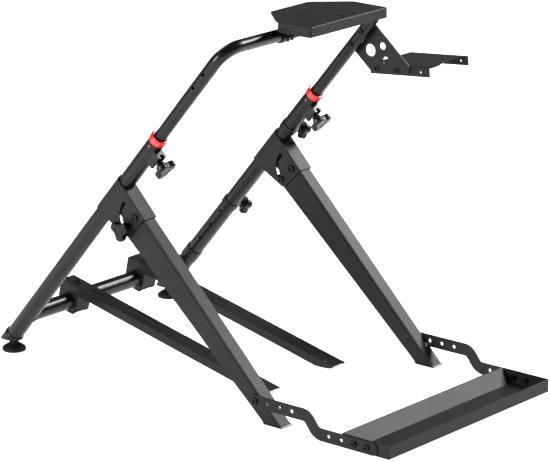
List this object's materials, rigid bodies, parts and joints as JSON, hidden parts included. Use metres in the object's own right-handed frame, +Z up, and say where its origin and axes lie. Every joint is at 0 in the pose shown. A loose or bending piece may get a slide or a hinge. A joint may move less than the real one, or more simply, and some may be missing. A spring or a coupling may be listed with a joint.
{
  "type": "racing wheel stand",
  "caption": "Folding floor stand for a game steering wheel: two slanted tube legs, tapered support beams, a bolted wheel deck, a gear shifter plate, pedal rails and a heel tray.",
  "frame": {"origin": "centre of the bounding box, at floor level", "axes": "+Z up, +Y away from the driver, +X to the driver's right"},
  "size_m": [0.7408, 1.1384, 0.8407],
  "materials": {
    "tube": "satin gloss black tube",
    "powder": "fine textured dark grey powder coat",
    "plastic": "matte moulded",
    "rubber": "matte",
    "red": "glossy",
    "bolt": "black oxide steel"
  },
  "bodies": {
    "leg_frame": {"leg_tube_left": "tube", "leg_tube_right": "tube", "leg_end_cap_left": "plastic", "leg_end_cap_right": "plastic", "collar_left": "red", "collar_right": "red", "clamp_boss_left": "tube", "clamp_boss_right": "tube", "hinge_bracket_left": "powder", "hinge_bracket_right": "powder", "pivot_bolt_left": "bolt", "pivot_bolt_right": "bolt", "pivot_nut_left": "bolt", "pivot_nut_right": "bolt", "clamp_ring_upper": "plastic", "clamp_ring_lower": "plastic", "leg_sleeve": "plastic", "cross_tube": "tube"},
    "support_frame": {"beam_left": "powder", "beam_right": "powder", "beam_foot_left": "plastic", "beam_foot_right": "plastic", "lock_bolt_left": "bolt", "lock_bolt_right": "bolt", "pivot_bush_left": "plastic", "pivot_bush_right": "plastic", "tray_hinge_bolt_left": "bolt", "tray_hinge_bolt_right": "bolt"},
    "tray_frame": {"tray": "powder", "side_bar_left": "powder", "side_bar_right": "powder", "tray_bolt_front_left": "bolt", "tray_bolt_front_right": "bolt", "tray_bolt_rear_left": "bolt", "tray_bolt_rear_right": "bolt"},
    "hoop": {"hoop_tube": "tube", "shifter_gusset": "powder", "gusset_bolt_upper": "bolt", "gusset_bolt_lower": "bolt", "shifter_plate": "powder", "shifter_bolt_front": "bolt", "shifter_bolt_rear": "bolt"},
    "wheel_deck": {"wheel_plate": "powder", "plate_saddle": "powder", "saddle_strap_left": "powder", "saddle_strap_right": "powder"},
    "rail_carriage_left": {"rail_liner_left": "plastic"},
    "rail_carriage_right": {"rail_liner_right": "plastic"},
    "rail_left": {"pedal_rail_left": "powder", "rail_clamp_left": "powder"},
    "rail_right": {"pedal_rail_right": "powder", "rail_clamp_right": "powder"},
    "foot_left": {"levelling_foot_left": "rubber"},
    "foot_right": {"levelling_foot_right": "rubber"},
    "height_knob_left": {"height_knob_left": "plastic"},
    "height_knob_right": {"height_knob_right": "plastic"},
    "ring_knob_upper": {"ring_knob_upper": "plastic"},
    "ring_knob_lower": {"ring_knob_lower": "plastic"},
    "lock_knob_left": {"lock_knob_left": "plastic"},
    "lock_knob_right": {"lock_knob_right": "plastic"}
  },
  "joints": [
    {"name": "fold", "type": "hinge", "parent": "leg_frame", "child": "support_frame", "pos_m": [-0.06125, 0.13496, 0.39098], "axis": [1, 0, 0], "range_deg": [0, 85]},
    {"name": "tray_fold", "type": "hinge", "parent": "support_frame", "child": "tray_frame", "pos_m": [-0.06125, -0.20519, 0.048], "axis": [1, 0, 0], "range_deg": [-130, 0]},
    {"name": "height_slide", "type": "slide", "parent": "leg_frame", "child": "hoop", "axis": [0, -0.6428, 0.766], "range_m": [-0.1, 0.1]},
    {"name": "deck_tilt", "type": "hinge", "parent": "hoop", "child": "wheel_deck", "pos_m": [-0.06125, -0.10624, 0.79822], "axis": [1, 0, 0], "range_deg": [-15, 20]},
    {"name": "rail_slide_left", "type": "slide", "parent": "leg_frame", "child": "rail_carriage_left", "axis": [1, 0, 0], "range_m": [-0.08, 0.08]},
    {"name": "rail_swing_left", "type": "hinge", "parent": "rail_carriage_left", "child": "rail_left", "pos_m": [-0.17425, 0.4832, 0.09576], "axis": [1, 0, 0], "range_deg": [-60, 0]},
    {"name": "rail_slide_right", "type": "slide", "parent": "leg_frame", "child": "rail_carriage_right", "axis": [1, 0, 0], "range_m": [-0.08, 0.08]},
    {"name": "rail_swing_right", "type": "hinge", "parent": "rail_carriage_right", "child": "rail_right", "pos_m": [0.05175, 0.4832, 0.09576], "axis": [1, 0, 0], "range_deg": [-60, 0]},
    {"name": "foot_level_left", "type": "slide", "parent": "leg_frame", "child": "foot_left", "axis": [0, 0, 1], "range_m": [-0.012, 0]},
    {"name": "foot_level_right", "type": "slide", "parent": "leg_frame", "child": "foot_right", "axis": [0, 0, 1], "range_m": [-0.012, 0]},
    {"name": "height_knob_turn_left", "type": "hinge", "parent": "leg_frame", "child": "height_knob_left", "pos_m": [-0.32525, 0.10781, 0.54312], "axis": [0, -0.766, -0.6428], "range_deg": [0, 720]},
    {"name": "height_knob_turn_right", "type": "hinge", "parent": "leg_frame", "child": "height_knob_right", "pos_m": [0.20275, 0.10781, 0.54312], "axis": [0, -0.766, -0.6428], "range_deg": [0, 720]},
    {"name": "ring_knob_turn_upper", "type": "hinge", "parent": "leg_frame", "child": "ring_knob_upper", "pos_m": [0.20275, 0.15795, 0.48337], "axis": [0.8829, -0.3596, -0.3018], "range_deg": [0, 720]},
    {"name": "ring_knob_turn_lower", "type": "hinge", "parent": "leg_frame", "child": "ring_knob_lower", "pos_m": [0.20275, 0.33536, 0.27195], "axis": [0.8829, -0.3596, -0.3018], "range_deg": [0, 720]},
    {"name": "lock_knob_turn_left", "type": "hinge", "parent": "support_frame", "child": "lock_knob_left", "pos_m": [-0.32525, 0.16466, 0.36128], "axis": [-1, 0, 0], "range_deg": [0, 720]},
    {"name": "lock_knob_turn_right", "type": "hinge", "parent": "support_frame", "child": "lock_knob_right", "pos_m": [0.20275, 0.16466, 0.36128], "axis": [1, 0, 0], "range_deg": [0, 720]}
  ]
}
